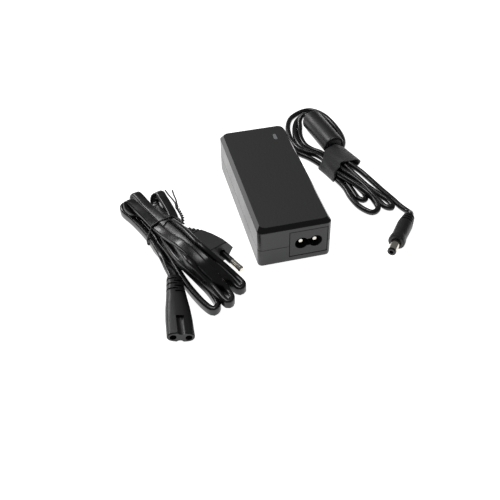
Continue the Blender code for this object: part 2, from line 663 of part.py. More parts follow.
def build_output_hank(mats):
    """The gathered output cord, open where the ferrite lies in it and narrow under the strap."""
    hank = slab("output_cord_hank", OUTPUT_HANK_OUTLINE, HANK_FLOOR, OUTPUT_HANK_TOP, mats["cord_pvc"],
                smooth=True)
    room = FERRITE_DIAMETER / 2 + 2 * GAP
    pocket = block_along("ferrite_pocket", FERRITE_CENTRE, FERRITE_HEADING, FERRITE_LENGTH / 2 + 0.8 * MM,
                         room,
                         -5 * MM, 30 * MM)
    cut(hank, pocket)
    band = STRAP_WIDTH / 2 + GAP
    waist = 12.2 * MM
    across = Vector((-STRAP_HEADING.y, STRAP_HEADING.x, 0))
    for side, label in ((-1, "left"), (1, "right")):
        centre = STRAP_CENTRE + side * (waist + 15 * MM) * across
        cut(hank, block_along(f"strap_clearance_{label}", centre, STRAP_HEADING, band, 15 * MM, -5 * MM,
                              30 * MM))
    for name, route in (("output_cord_tail", CORD_TAIL_ROUTE),
                        ("output_cord_plug_lead", PLUG_LEAD_ROUTE[::-1])):
        tube(name, route, CORD_DIAMETER, mats["cord_pvc"])
        cut(hank, clearance_tube(name, route, CORD_DIAMETER))


def build_strap(mats):
    """The hook-and-loop strap as a closed band, with its free end laid along the top."""
    half = STRAP_WIDTH / 2
    inner_half = 12.2 * MM + GAP
    inner_low, inner_high = 0.1 * MM + STRAP_THICKNESS, OUTPUT_HANK_TOP + GAP
    band = block_along("hook_and_loop_strap", STRAP_CENTRE, STRAP_HEADING, half, inner_half + STRAP_THICKNESS,
                       inner_low - STRAP_THICKNESS, inner_high + STRAP_THICKNESS, 0.0, mats["loop_fabric"])
    corners = band.modifiers.new("corners", "BEVEL")
    corners.width = 0.5 * MM
    corners.segments = 1
    opening = block_along("strap_opening", STRAP_CENTRE, STRAP_HEADING, half + 5 * MM, inner_half, inner_low,
                          inner_high)
    cut(band, opening)


def build_output_plug(mats):
    """Overmoulded barrel plug: ribbed back, smooth grip, nickel barrel, black tip and spring contact."""
    start = OUTPUT_PLUG_START
    profile = [(0, 0), (2.6 * MM, 0)]
    for ring in range(3):
        base = (0.2 + 2.5 * ring) * MM
        radius = (3.7 + 0.4 * ring) * MM
        profile += [(radius - 1.1 * MM, base), (radius, base + 0.2 * MM), (radius, base + 1.4 * MM),
                    (radius - 0.9 * MM, base + 1.6 * MM)]
    profile += [(3.7 * MM, 7.7 * MM), (4.8 * MM, 7.9 * MM), (4.9 * MM, 9.5 * MM), (4.7 * MM, 20.5 * MM),
                (4.9 * MM, 22.5 * MM), (5.2 * MM, 23.5 * MM), (5.2 * MM, 26.4 * MM), (4.7 * MM, 27 * MM),
                (2.9 * MM + GAP, 27 * MM), (2.9 * MM + GAP, 24 * MM), (0, 24 * MM)]
    turned("output_plug_grip", start, OUTPUT_PLUG_HEADING, profile, mats["overmould_pvc"])
    face = start + 27 * MM * OUTPUT_PLUG_HEADING
    radius = BARREL_DIAMETER / 2
    tip = BARREL_LENGTH - 1.2 * MM
    barrel = [(radius - 0.4 * MM, -2.6 * MM), (2.9 * MM, -2.6 * MM), (2.9 * MM, 0.4 * MM), (radius, 0.7 * MM),
              (radius, tip), (radius - 0.4 * MM, tip)]
    turned("output_plug_barrel", face, OUTPUT_PLUG_HEADING, barrel, mats["nickel"])
    hole = 1.25 * MM
    insulator = [(hole, 2 * MM), (radius - 0.4 * MM - GAP, 2 * MM), (radius - 0.4 * MM - GAP, tip + GAP),
                 (radius - 0.05 * MM, tip + GAP), (radius - 0.1 * MM, BARREL_LENGTH - 0.3 * MM),
                 (radius - 0.5 * MM, BARREL_LENGTH), (hole, BARREL_LENGTH)]
    turned("output_plug_tip", face, OUTPUT_PLUG_HEADING, insulator, mats["tip_plastic"])
    contact = [(0, -2.2 * MM), (1.6 * MM, -2.2 * MM), (1.6 * MM, 1.4 * MM), (0.5 * MM, 1.7 * MM),
               (0.35 * MM, 7 * MM),
               (0, 7.2 * MM)]
    turned("output_plug_contact", face, OUTPUT_PLUG_HEADING, contact, mats["nickel"], 16)


def relief_slot(name, distance, sign):
    """A cutter for one strain-relief slot, which leaves the middle and the other side whole."""
    outline = [(1, 7), (-10, 7), (-10, -7), (1, -7), (1, -2.2), (-2.9, -2.2), (-2.9, 2.2), (1, 2.2)]
    outline = [(-sign * side * MM, up * MM) for side, up in outline][::-sign]
    return loft(name, CONNECTOR_START, CONNECTOR_HEADING, [(distance, outline),
                                                           (distance + 1.1 * MM, outline)],
                roll=CONNECTOR_ROLL)


def build_mains_connector(mats):
    """Figure-8 connector: slotted back, flat grip, grooved nose with two sockets and their contacts."""
    sections = [(0, oval(4.3 * MM, 3.0 * MM)), (1 * MM, oval(4.6 * MM, 3.4 * MM)),
                (8 * MM, oval(5.2 * MM, 3.8 * MM)),
                (17 * MM, oval(6.1 * MM, 4.1 * MM)), (25 * MM, oval(7.0 * MM, 4.2 * MM)),
                (33 * MM, oval(7.5 * MM, 4.0 * MM)), (CONNECTOR_LENGTH - 0.6 * MM, oval(7.7 * MM, 3.6 * MM)),
                (CONNECTOR_LENGTH, oval(7.3 * MM, 3.2 * MM))]
    body = loft("mains_connector_body", CONNECTOR_START, CONNECTOR_HEADING, sections, mats["overmould_pvc"],
                CONNECTOR_ROLL)
    for number in range(6):
        cut(body, relief_slot(f"relief_slot_{number}", (2.6 + 2.15 * number) * MM, 1 if number % 2 else -1))
    frame = along(CONNECTOR_START, CONNECTOR_HEADING, CONNECTOR_ROLL)
    for sign, label in ((-1, "left"), (1, "right")):
        front = frame @ Vector((sign * PIN_SPACING / 2, 0, CONNECTOR_LENGTH))
        back = front - 13 * MM * CONNECTOR_HEADING
        cut(body, rod(f"contact_hole_{label}", back, front + 5 * MM * CONNECTOR_HEADING, 1.9 * MM, sides=16))
        contact = [(PIN_RADIUS, 0.3 * MM), (1.6 * MM, 0.3 * MM), (1.6 * MM, 10 * MM), (PIN_RADIUS, 10 * MM)]
        turned(f"connector_contact_{label}", back, CONNECTOR_HEADING, contact, mats["nickel"], 16)
    for sign, label in ((1, "top"), (-1, "bottom")):
        end = frame @ Vector((0, sign * 4.7 * MM, CONNECTOR_LENGTH + 3 * MM))
        cut(body, rod(f"nose_groove_{label}", end - 16 * MM * CONNECTOR_HEADING, end, 2.5 * MM, sides=16))
    tube("connector_lead", CONNECTOR_LEAD_ROUTE, MAINS_THICKNESS, mats["cord_pvc"])


def hexagon(half_width, half_height, flat):
    """The slim plug's flattened six-sided outline, from its right-hand point round to its top."""
    return [(half_width, 0), (flat, half_height), (-flat, half_height), (-half_width, 0),
            (-flat, -half_height),
            (flat, -half_height)]


def build_mains_plug(mats):
    """Slim two-pin plug: six-sided face, tapering ribbed back, sleeved pins with bare tips."""
    sections = [(0, hexagon(17.4 * MM, 6.5 * MM, 12.8 * MM)), (0.5 * MM,
                                                               hexagon(17.65 * MM, 6.85 * MM, 13.05 * MM)),
                (4 * MM, hexagon(17.2 * MM, 6.8 * MM, 12.8 * MM)), (12 * MM,
                                                                    hexagon(15.0 * MM, 6.4 * MM, 11.2 * MM)),
                (20 * MM, hexagon(12.2 * MM, 5.8 * MM, 8.6 * MM))]
    for rib in range(4):
        base = (20.6 + 2.7 * rib) * MM
        wide, high, flat = (11.4 - 1.5 * rib) * MM, (5.5 - 0.55 * rib) * MM, (7.8 - 1.2 * rib) * MM
        for offset, slack in ((0, 1.2), (0.2, 0), (1.6, 0), (1.8, 1.2)):
            sections.append((base + offset * MM, hexagon(wide - slack * MM, high - slack * MM, flat)))
    sections.append((32 * MM, hexagon(4.2 * MM, 2.6 * MM, 2.6 * MM)))
    body = loft("mains_plug_body", PLUG_FACE, -PLUG_HEADING, sections, mats["overmould_pvc"])
    side = Vector((0, 0, 1)).cross(PLUG_HEADING)
    for sign, label in ((-1, "left"), (1, "right")):
        root = PLUG_FACE + sign * PLUG_PIN_SPACING / 2 * side
        inside = root - 6 * MM * PLUG_HEADING
        cut(body, rod(f"pin_seat_{label}", inside - 0.5 * MM * PLUG_HEADING, root + 5 * MM * PLUG_HEADING,
                      2.0 * MM + GAP, sides=20))
        sleeve = [(1.45 * MM, 0), (2 * MM, 0), (2 * MM, 15.4 * MM), (1.45 * MM, 15.4 * MM)]
        turned(f"mains_pin_sleeve_{label}", inside, PLUG_HEADING, sleeve, mats["tip_plastic"], 20)
        end = 6 * MM + PLUG_PIN_LENGTH
        pin = [(0, 0), (1.15 * MM, 0), (1.15 * MM, 15.7 * MM), (1.95 * MM, 15.7 * MM),
               (1.95 * MM, end - 1.2 * MM),
               (1.3 * MM, end - 0.2 * MM), (0, end)]
        turned(f"mains_plug_pin_{label}", inside, PLUG_HEADING, pin, mats["nickel"], 20)


def build_mains_hank(mats):
    """The gathered mains cord, which lies on the floor and, on its right, over the slim plug."""
    hank = slab("mains_cord_hank", MAINS_HANK_OUTLINE, HANK_FLOOR, MAINS_HANK_TOP, mats["cord_pvc"],
                smooth=True)
    across = Vector((0, 0, 1)).cross(PLUG_HEADING)
    over_plug = PLUG_FACE - 9 * MM * PLUG_HEADING - 8 * MM * across
    join(hank, block_along("cord_over_plug", over_plug, PLUG_HEADING, 28 * MM, 9.5 * MM,
                           MAINS_HANK_TOP - 2 * MM,
                           OVER_PLUG_TOP, 1 * MM))
    under_cord = PLUG_FACE - 14.2 * MM * PLUG_HEADING
    room = block_along("plug_room", under_cord, PLUG_HEADING, 18.2 * MM, 18.2 * MM, -5 * MM, 14.6 * MM)
    pins = block_along("pin_room", PLUG_FACE + 9 * MM * PLUG_HEADING, PLUG_HEADING, 11 * MM, 12.4 * MM,
                       -5 * MM, 9.6 * MM)
    cut(hank, room, pins, clearance_tube("connector_lead", CONNECTOR_LEAD_ROUTE, MAINS_THICKNESS))
    for side, label in ((-1, "left"), (1, "right")):
        centre = TIE_CENTRE + side * (TIE_REACH + 10 * MM) * across
        cut(hank, block_along(f"tie_clearance_{label}", centre, PLUG_HEADING, TIE_WIDTH / 2 + GAP, 10 * MM,
                              -5 * MM, 30 * MM))


def build_twist_tie(mats):
    """The tie's loop round the hank, its twisted stem and its two free ends."""
    across = Vector((0, 0, 1)).cross(PLUG_HEADING)
    inner_half = TIE_REACH + GAP
    low, high = HANK_FLOOR - GAP, MAINS_HANK_TOP + GAP
    tie = block_along("twist_tie", TIE_CENTRE, PLUG_HEADING, TIE_WIDTH / 2, inner_half + TIE_THICKNESS,
                      low - TIE_THICKNESS, high + TIE_THICKNESS, 0.0, mats["tie_film"])
    opening = block_along("tie_opening", TIE_CENTRE, PLUG_HEADING, 5 * MM, inner_half, low, high)
    root = TIE_CENTRE + (inner_half - 1 * MM) * across + Vector((0, 0, high + 0.6 * MM))
    fork = root + Vector((-1.2, 9, 4)) * MM
    stem = rod("tie_stem", root, fork, 1.1 * MM, sides=10)
    ends = [rod(f"tie_end_{i}", fork, fork + Vector(reach) * MM, 0.7 * MM, sides=8)
            for i, reach in enumerate(((-4.2, 10, 3.4), (0.6, 9.4, 3.6)))]
    cut(tie, opening)
    join(tie, stem, *ends)


def main():
    clear_scene()
    mats = finishes()
    build_covers(mats)
    build_status_light(mats)
    build_inlet(mats)
    build_board(mats)
    build_input_side(mats)
    build_transformer(mats)
    build_output_side(mats)
    build_strain_relief(mats)
    build_ferrite(mats)
    build_output_hank(mats)
    build_strap(mats)
    build_output_plug(mats)
    build_mains_connector(mats)
    build_mains_plug(mats)
    build_mains_hank(mats)
    build_twist_tie(mats)


main()
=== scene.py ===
"""A laptop power adapter with its strapped output cord and its tied mains lead.

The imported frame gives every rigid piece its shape. This script lays the two cords,
wraps the strap and the twist tie round them, and gives each piece its finish.
"""
import math

import bpy
import numpy as np
from mathutils import Matrix, Vector, geometry


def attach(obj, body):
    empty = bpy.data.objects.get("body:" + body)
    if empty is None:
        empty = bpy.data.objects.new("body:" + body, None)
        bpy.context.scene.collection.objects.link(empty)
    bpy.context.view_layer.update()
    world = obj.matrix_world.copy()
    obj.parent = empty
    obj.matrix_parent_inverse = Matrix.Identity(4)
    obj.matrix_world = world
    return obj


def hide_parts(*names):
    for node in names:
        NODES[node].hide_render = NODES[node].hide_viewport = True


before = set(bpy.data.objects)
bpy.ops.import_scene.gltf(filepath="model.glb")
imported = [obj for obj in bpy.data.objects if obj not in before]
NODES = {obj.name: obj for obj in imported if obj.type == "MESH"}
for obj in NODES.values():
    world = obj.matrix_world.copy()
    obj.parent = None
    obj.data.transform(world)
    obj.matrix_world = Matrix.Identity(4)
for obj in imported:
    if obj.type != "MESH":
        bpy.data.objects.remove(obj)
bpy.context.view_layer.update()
MM = 0.001

# ---------------------------------------------------------------- camera

CAMERA_AZIMUTH = math.radians(-13.21)
CAMERA_ELEVATION = math.radians(42.2)
CAMERA_ROLL = math.radians(-1.15)
CAMERA_TARGET = Vector((-0.02339, -0.03548, 0))
CAMERA_DISTANCE = 0.45782
CAMERA_LENS = 53.79


def put_camera():
    """A camera that looks down at the set from the front left."""
    azimuth, elevation = CAMERA_AZIMUTH, CAMERA_ELEVATION
    back = Vector((math.sin(azimuth) * math.cos(elevation), -math.cos(azimuth) * math.cos(elevation),
                   math.sin(elevation)))
    level = Vector((math.cos(azimuth), math.sin(azimuth), 0))
    rise = back.cross(level)
    right = math.cos(CAMERA_ROLL) * level + math.sin(CAMERA_ROLL) * rise
    up = back.cross(right)
    data = bpy.data.cameras.new("camera")
    data.lens = CAMERA_LENS
    data.sensor_width = 36
    data.clip_start = 0.01
    camera = bpy.data.objects.new("camera", data)
    bpy.context.scene.collection.objects.link(camera)
    place = Matrix((right, up, back)).transposed().to_4x4()
    place.translation = CAMERA_TARGET + CAMERA_DISTANCE * back
    camera.matrix_world = place
    bpy.context.scene.camera = camera
    return np.array(place.translation) / MM


EYE = put_camera()


def linear(code):
    """An sRGB hex colour as linear red, green and blue, and a full alpha."""
    parts = [int(code[i:i + 2], 16) / 255 for i in (0, 2, 4)]
    return [v / 12.92 if v <= 0.04045 else ((v + 0.055) / 1.055) ** 2.4 for v in parts] + [1]


# ---------------------------------------------------------------- laying the cords, in millimetres

UP = np.array((0.0, 0.0, 1.0))

# The two cords: their sections, the distance between points while they settle, how many passes that
# takes, and how many points stay put at each end. Then the case and the ferrite that they pass.
OUTPUT_RADIUS = 1.9
OUTPUT_STEP = 2.2
OUTPUT_PASSES = 240
OUTPUT_HELD_AT_CASE = 12
MAINS_WIDTH = 6.0
MAINS_THICKNESS = 3.6
MAINS_EDGE = 1.35
MAINS_STEP = 2.6
MAINS_PASSES = 90
HELD_AT_END = 3
BRICK_HALF_WIDTH = 22.5
BRICK_END = 52.5
FERRITE_CENTRE = np.array((55.5, 64.5, 8.2))
FERRITE_HEADING = np.array((0.134, -0.991, 0.0))
FERRITE_HALF = 19.0
FERRITE_RADIUS = 7.5
FERRITE_BORE = 2.0

# The strap: the room that it leaves the strands to each side and upwards, and its own band.
STRAP_CENTRE = np.array((53.8, 30.0, 0.0))
STRAP_HEADING = np.array((0.34, -0.94, 0.0))
STRAP_HOLDS = 10.0
STRAP_ROOM = 11.5
STRAP_CROWN = 11.6
STRAP_CROWN_FALL = 0.03
STRAP_HALF_WIDTH = 8.5
STRAP_THICKNESS = 1.3
STRAP_SLACK = 0.2
STRAP_MIDDLE = np.array((0.5, 5.2))
STRAP_TAB = np.array((-14.5, 3.4))

# The twist tie round the mains cord, its twisted stem and the ends of its two wires.
TIE_CENTRE = np.array((-71.2, -10.0, 0.0))
TIE_HEADING = np.array((0.413, -0.911, 0.0))
TIE_MIDDLE = np.array((0.0, 6.0))
TIE_RADIUS = 0.55
TIE_SLACK = 0.1
TIE_TWIST = 0.62
TIE_STEM = ((-60.4, -13, 11), (-59.4, -7.5, 11), (-59.8, -1, 10), (-60.8, 6.2, 9))
TIE_ENDS = ((-64.7, 26, 8.6), (-60.2, 24.8, 8.6))

# The slim plug: its sections by distance behind its face, each with its half width, the half width
# of its flat top, and its height above the middle. Its pins stand on its face.
PLUG_FACE = np.array((-50.4, -45.5, 7.2))
PLUG_HEADING = np.array((0.413, -0.911, 0.0))
PLUG_LENGTH = 32.0
PLUG_SECTIONS = ((0, 17.65, 13, 6.85), (12, 15, 11.2, 6.4), (20, 12.2, 8.6, 5.8), (32, 4.6, 2.6, 2.8))
PLUG_PIN_LENGTH = 19.0
PLUG_PIN_SIDE = 9.5
PLUG_PIN_RADIUS = 2.0

# How strands settle: how often and how far beyond touching near strands are looked for, how firmly
# they push apart, how much of the way points rise off the plug in one pass, how much smoothing
# follows, and the air left under a strand.
LOOK_EVERY = 6
LOOK_BEYOND = 2.0
PUSH = 1.2
RISE_SHARE = 0.6
SMOOTH_AT_REST = 4
FLOOR_GAP = 0.15

# The round output cord: out of the case, round behind it, through the strap into the near and far
# loops by turns, through the ferrite and on to its plug. x, y and height in mm.
OUTPUT_ROUTE = (
    (0, 67.8, 12), (0.6, 70.8, 11.2), (3, 73.6, 8.4), (7, 75.2, 5.2), (12.5, 75.6, 2.6), (19, 74.6, 2),
    (25, 71.6, 2), (29, 66.6, 2), (31.4, 61.4, 2), (33.4, 56.6, 2), (36.2, 51.6, 2), (40.4, 45.4, 2),
    (44.6, 36.4, 2.6), (47.6, 27.4, 3.2), (50.5, 16, 2.4), (52.6, 6, 2), (52.8, -5, 2), (55, -15.5, 2),
    (60.6, -23, 2), (66, -20, 2.4), (65.6, -12, 3.6), (61.8, -4.5, 5.6), (57.6, 3.5, 7.2),
    (52.8, 11.5, 8.2), (49.3, 18.5, 8.2), (47.6, 27.5, 7.6), (47, 36, 7), (44.6, 42.6, 6.2),
    (40.2, 47, 5.8), (36, 51.6, 5.8), (33.4, 58.6, 5.8), (32.7, 68.3, 5.4), (34.6, 82.1, 4.6),
    (39.5, 93.4, 4), (46.4, 99.8, 4),
    (53.9, 103.1, 4), (59.5, 102.4, 4), (64.9, 97.1, 4), (68.6, 88.4, 3.4), (70.6, 75, 2.4), (71, 62, 2),
    (69.6, 50, 2), (65.4, 39.5, 2.4), (56.2, 29, 3.2), (57.6, 19, 2.8), (61.8, 7, 2.2), (64, -3, 2),
    (61.5, -9.6, 2), (57.5, -7, 2), (56.3, 1, 2), (55.4, 10, 2.2), (53.5, 19, 2.8), (50.8, 28.8, 3.4),
    (49.4, 37.6, 3.2), (45.6, 45.4, 2.6), (41, 51, 2.2), (37.8, 58, 2), (37, 67, 2), (38.6, 76.6, 2),
    (42, 86.4, 2), (46.6, 94, 2), (53, 99, 2), (59, 98.2, 2), (63.8, 91.6, 2), (66.4, 79, 2),
    (67, 66, 2.2), (66, 52, 3.4), (61.5, 40.5, 5.8), (56.6, 31, 7.2), (59, 20, 8), (62.2, 9.5, 7.4),
    (66, -1, 6), (70, -9.5, 4.6), (74, -17.5, 3.4), (73.6, -23.8, 2.6), (69.4, -22, 2.2),
    (67, -15.5, 2.4), (64.4, -7, 4), (61, 2, 6), (57.4, 10.5, 7.4), (53.6, 19.5, 8), (51.6, 29.5, 7.2),
    (50.6, 37.4, 6.4), (47, 44.6, 6), (42.8, 49.4, 6), (39.8, 55.6, 6), (39.4, 64, 6), (40.6, 72.4, 6),
    (42.8, 80, 6.2), (44.6, 87, 6.8), (48, 91.6, 8), (51.4, 90, 8.2), (52.6, 86.2, 8.2),
    (52.95, 83.3, 8.2), (54.2, 74, 8.2), (55.5, 64.5, 8.2), (56.8, 55, 8.2), (58.05, 45.7, 8.2),
    (58.8, 40, 7.8), (60, 32.5, 6.8),
    (63, 26, 6.2), (67.4, 19, 5), (70.2, 12.5, 3.8), (72.2, 5.5, 2.8), (74.5, -3, 2.2), (77.4, -13, 2),
    (80, -22, 2), (82.6, -28.2, 2.6), (82.6, -33, 4.2), (80.2, -36.1, 5.1),
)

# The flat mains cord, from the connector through its tied loops to the slim plug. x and y are where
# each point shows on a plane 6 mm up. Then come its height and its turn in degrees: 0 lies flat, 90
# stands on edge, 180 is flat again past a fold, and None is the top of a fold.
MAINS_PLANE = 6.0
MAINS_ROUTE = (
    (-73.5, -54.2, 4.6, 180), (-73.4, -47, 4, 172), (-74, -40, 3.4, 140), (-75.8, -33, 3, 110),
    (-77.8, -27, 3, 90), (-80.4, -18, 3, 90), (-84.8, -7, 3, 90), (-89.6, 4, 3, 90), (-94, 13, 3, 90),
    (-93.6, 18.6, 3, 90), (-89.8, 18.6, 3, 90), (-86.4, 10.6, 3, 90), (-81.6, -2, 3, 90),
    (-77.6, -14, 3, 90), (-76.2, -24, 3, 90), (-74.2, -34, 3, 90), (-72, -45, 3, 90), (-69, -57, 3, 90),
    (-65, -69, 3, 90), (-60.4, -80, 3, 90), (-56.2, -85.6, 3, 90), (-52.8, -81.6, 3.2, 90),
    (-54.8, -70, 5, 90), (-59.6, -58, 9, 90), (-65.2, -45, 11.5, 90), (-68.8, -36, 10, 90),
    (-72.4, -25, 7, 90), (-75.6, -14, 4, 90), (-79.6, -3, 3.2, 90), (-83.6, 5, 4, 90),
    (-87.4, 10, 6, 45), (-90, 13.6, 8, 0), (-91.2, 19.4, 10, None), (-88.8, 22.4, 12, 180),
    (-82, 8.5, 11.4, 174), (-76.1, -5.9, 10.6, 169), (-72, -14.7, 11.4, 165), (-67.8, -22.6, 13.6, 164),
    (-63.6, -30.4, 15.8, 163), (-57.8, -44, 16, 163), (-53.6, -54, 13, 152), (-49.6, -64, 8, 125),
    (-46.4, -73, 4, 95), (-44.9, -79, 3.2, 90), (-47.4, -82.6, 3, 90), (-50.4, -77.5, 3.2, 90),
    (-53.8, -66.5, 5, 90), (-57.6, -55.5, 10, 90), (-61.8, -44.5, 15, 90), (-65.6, -34, 14, 90),
    (-69.6, -23.5, 10.5, 90), (-73.4, -12, 4.5, 90), (-77.4, -1, 3.2, 90), (-80.6, 8, 3, 90),
    (-83.4, 15, 2.4, 45), (-85.2, 20, 2, 0), (-86, 26.4, 5.2, None), (-83.6, 29.2, 8.4, 180),
    (-78, 14.5, 8.8, 174), (-72, 0.8, 9.6, 169), (-68.9, -6.9, 10.4, 165), (-62.4, -20.6, 13.4, 164),
    (-56.8, -33.6, 15.8, 163), (-52.2, -44.4, 15.6, 163), (-47.8, -53, 12, 156), (-44.2, -61, 7.5, 135),
    (-41.6, -68, 4.4, 110), (-39.6, -72.6, 3.4, 95), (-37.4, -73.4, 3.2, 90), (-36, -69.6, 3.4, 90),
    (-38.8, -62.5, 4.4, 90), (-42.6, -54.5, 7.5, 90), (-47.8, -44.6, 12.5, 90), (-55.2, -30, 16.4, 90),
    (-61.4, -15.4, 12.5, 90), (-64, -9.4, 10.5, 90), (-66.6, -3, 7, 90), (-69, 4, 4.4, 90),
    (-71.4, 10, 3, 60), (-73, 16, 2, 10), (-72.8, 23.4, 5.2, None), (-69.2, 27, 8.6, 180),
    (-67.6, 20, 8.8, 180), (-66.4, 12.4, 8.8, 180), (-65.4, 3, 8.6, 180), (-64.8, -5, 8, 180),
    (-64.2, -10, 7.4, 180), (-63.4, -14.6, 7.1, 180),
)


def unit(vectors):
    """The same vectors, each one long."""
    return vectors / np.maximum(np.linalg.norm(vectors, axis=-1, keepdims=True), 1e-9)


def across_of(heading):
    """The level direction to the right of a heading."""
    return np.array((heading[1], -heading[0], 0.0))


def square_to(vectors, directions):
    """What is left of each vector without its part along its direction."""
    return vectors - (vectors * directions).sum(1, keepdims=True) * directions


def spline(points, step):
    """A smooth curve through the points, cut into equal steps of its first three columns, the place."""
    points = np.asarray(points, float)
    ends = np.vstack((2 * points[0] - points[1], points, 2 * points[-1] - points[-2]))
    pieces = []
    for a, b, c, d in zip(ends, ends[1:], ends[2:], ends[3:]):
        t = np.linspace(0, 1, 24, endpoint=False)[:, None]
        pieces.append(0.5 * (2 * b + (c - a) * t + (2 * a - 5 * b + 4 * c - d) * t ** 2
                             + (3 * b - a - 3 * c + d) * t ** 3))
    fine = np.vstack(pieces + [points[-1:]])
    reach = np.concatenate(([0], np.cumsum(np.linalg.norm(np.diff(fine[:, :3], axis=0), axis=1))))
    at = np.linspace(0, reach[-1], round(reach[-1] / step) + 1)
    return np.stack([np.interp(at, reach, fine[:, k]) for k in range(fine.shape[1])], axis=1)


def tangents(line):
    """The direction of travel at each point."""
    return unit(np.gradient(line, axis=0))


def split_along(points, centre, heading):
    """How far the points lie ahead of a centre and to the side of it, on the level."""
    away = points - centre
    return away @ heading, away @ across_of(heading)


def off_floor(points, radius):
    """Lift points to where a strand rests on the floor."""
    points[:, 2] = np.maximum(points[:, 2], radius)


def off_brick(points, radius):
    """Move points out through the nearer long side of the case."""
    side = BRICK_HALF_WIDTH + radius
    inside = (np.abs(points[:, 0]) < side) & (np.abs(points[:, 1]) < BRICK_END + radius)
    points[inside, 0] = np.where(points[inside, 0] > 0, 1, -1) * side


def off_ferrite(points, radius):
    """Move points out of the ferrite's sleeve, square to its axis, but not out of its bore."""
    along, _ = split_along(points, FERRITE_CENTRE, FERRITE_HEADING)
    away = points - (FERRITE_CENTRE + along[:, None] * FERRITE_HEADING)
    far = np.linalg.norm(away, axis=1)
    reach = FERRITE_RADIUS + radius
    hit = (np.abs(along) < FERRITE_HALF) & (far < reach) & (far > FERRITE_BORE)
    points[hit] += unit(away[hit]) * (reach - far[hit])[:, None]


def in_strap(points, radius):
    """Hold the strands together where the strap goes round them."""
    along, side = split_along(points, STRAP_CENTRE, STRAP_HEADING)
    held = np.abs(along) < STRAP_HOLDS
    room = STRAP_ROOM - radius
    inwards = np.clip(side, -room, room) - side
    points[held] += inwards[held, None] * across_of(STRAP_HEADING)
    top = STRAP_CROWN - STRAP_CROWN_FALL * side ** 2 - radius
    points[held, 2] = np.minimum(points[held, 2], top[held])


def over_slim_plug(points, radius):
    """Lift or slide points off the slim plug and its pins."""
    along, side = split_along(points, PLUG_FACE, PLUG_HEADING)
    backs, halves, flats, crowns = np.array(PLUG_SECTIONS).T
    back = np.clip(-along, 0, PLUG_LENGTH)
    half = np.interp(back, backs, halves)
    flat = np.interp(back, backs, flats)
    crown = np.interp(back, backs, crowns)
    slope = np.clip((half - np.abs(side)) / np.maximum(half - flat, 0.1), 0, 1)
    on_body = (along < radius) & (along > -PLUG_LENGTH - radius) & (np.abs(side) < half + radius)
    beside_pin = np.abs(np.abs(side) - PLUG_PIN_SIDE) < PLUG_PIN_RADIUS + radius
    on_pin = (along >= 0) & (along < PLUG_PIN_LENGTH + radius) & beside_pin
    top = PLUG_FACE[2] + np.where(on_body, crown * slope, PLUG_PIN_RADIUS)
    rise = top + radius - points[:, 2]
    slide = half + radius - np.abs(side)
    hit = (on_body | on_pin) & (rise > 0)
    sideways = hit & on_body & (slide < rise) & (slide > 0) & (points[:, 2] < PLUG_FACE[2])
    points[sideways] += (np.sign(side[sideways]) * slide[sideways])[:, None] * across_of(PLUG_HEADING)
    lift = hit & ~sideways
    points[lift, 2] += rise[lift] * RISE_SHARE


def ease(moved):
    """Draw each inner point halfway to the middle of its neighbours."""
    moved[1:-1] += 0.5 * ((moved[:-2] + moved[2:]) / 2 - moved[1:-1])


def settle(rows, radius, fixed, obstacles, passes, pull=0.03, gap=5, smooth=3, sink=0.06):
    """Let laid strands come to rest: they lie on each other and sink to the floor, in smooth curves.

    rows holds one line of points for a round cord and two, side by side, for a flat one, which keeps
    its turn. Each point stays near the line of sight it was laid on: pull is how firmly. Points no
    more than gap steps apart along the cord don't push each other.
    """
    lines, count, _ = rows.shape
    sight = unit(EYE - rows.mean(0))
    station = np.tile(np.arange(count), lines)
    touch = 2 * radius
    moved = np.zeros((count, 3))
    for turn in range(passes):
        cores = (rows + moved).reshape(-1, 3)
        if turn % LOOK_EVERY == 0:
            away = cores[:, None] - cores[None]
            close = (away ** 2).sum(2) < (touch + LOOK_BEYOND) ** 2
            close &= np.abs(station[:, None] - station[None]) > gap
            one, two = np.argwhere(np.triu(close)).T
        away = cores[one] - cores[two]
        far = np.linalg.norm(away, axis=1, keepdims=True)
        push = 0.5 * np.maximum(touch - far, 0) * away / np.maximum(far, 1e-6)
        total, hits = np.zeros_like(cores), np.zeros(len(cores))
        for end, way in ((one, 1), (two, -1)):
            np.add.at(total, end, way * push)
            np.add.at(hits, end, far[:, 0] < touch)
        hits = np.maximum(hits.reshape(lines, count).sum(0), 1)
        moved += PUSH * total.reshape(lines, count, 3).sum(0) / hits[:, None] ** 0.5
        moved[:, 2] -= sink
        moved -= pull * square_to(moved, sight)
        for _ in range(smooth):
            ease(moved)
        for obstacle in (*obstacles, off_floor):
            before = (rows + moved).reshape(-1, 3)
            after = before.copy()
            obstacle(after, radius)
            steps = (after - before).reshape(lines, count, 3)
            most = np.linalg.norm(steps, axis=2).argmax(0)
            moved += steps[most, np.arange(count)]
        moved[fixed] = 0
    for _ in range(SMOOTH_AT_REST):
        ease(moved)
    moved[:, 2] += np.maximum(radius + FLOOR_GAP - (rows + moved)[:, :, 2].min(0), 0)
    return rows + moved


def laid_output_cord():
    """The middle line of the output cord at rest."""
    line = spline(OUTPUT_ROUTE, OUTPUT_STEP)
    along, _ = split_along(line, FERRITE_CENTRE, FERRITE_HEADING)
    beside = np.linalg.norm(line - FERRITE_CENTRE - along[:, None] * FERRITE_HEADING, axis=1)
    in_bore = np.flatnonzero((beside < FERRITE_BORE / 2) & (np.abs(along) < FERRITE_HALF + 2))
    stations = np.arange(len(line))
    fixed = np.concatenate((stations[:OUTPUT_HELD_AT_CASE], in_bore, stations[-HELD_AT_END:]))
    obstacles = (off_brick, off_ferrite, in_strap)
    return settle(line[None], OUTPUT_RADIUS, fixed, obstacles, OUTPUT_PASSES)[0]


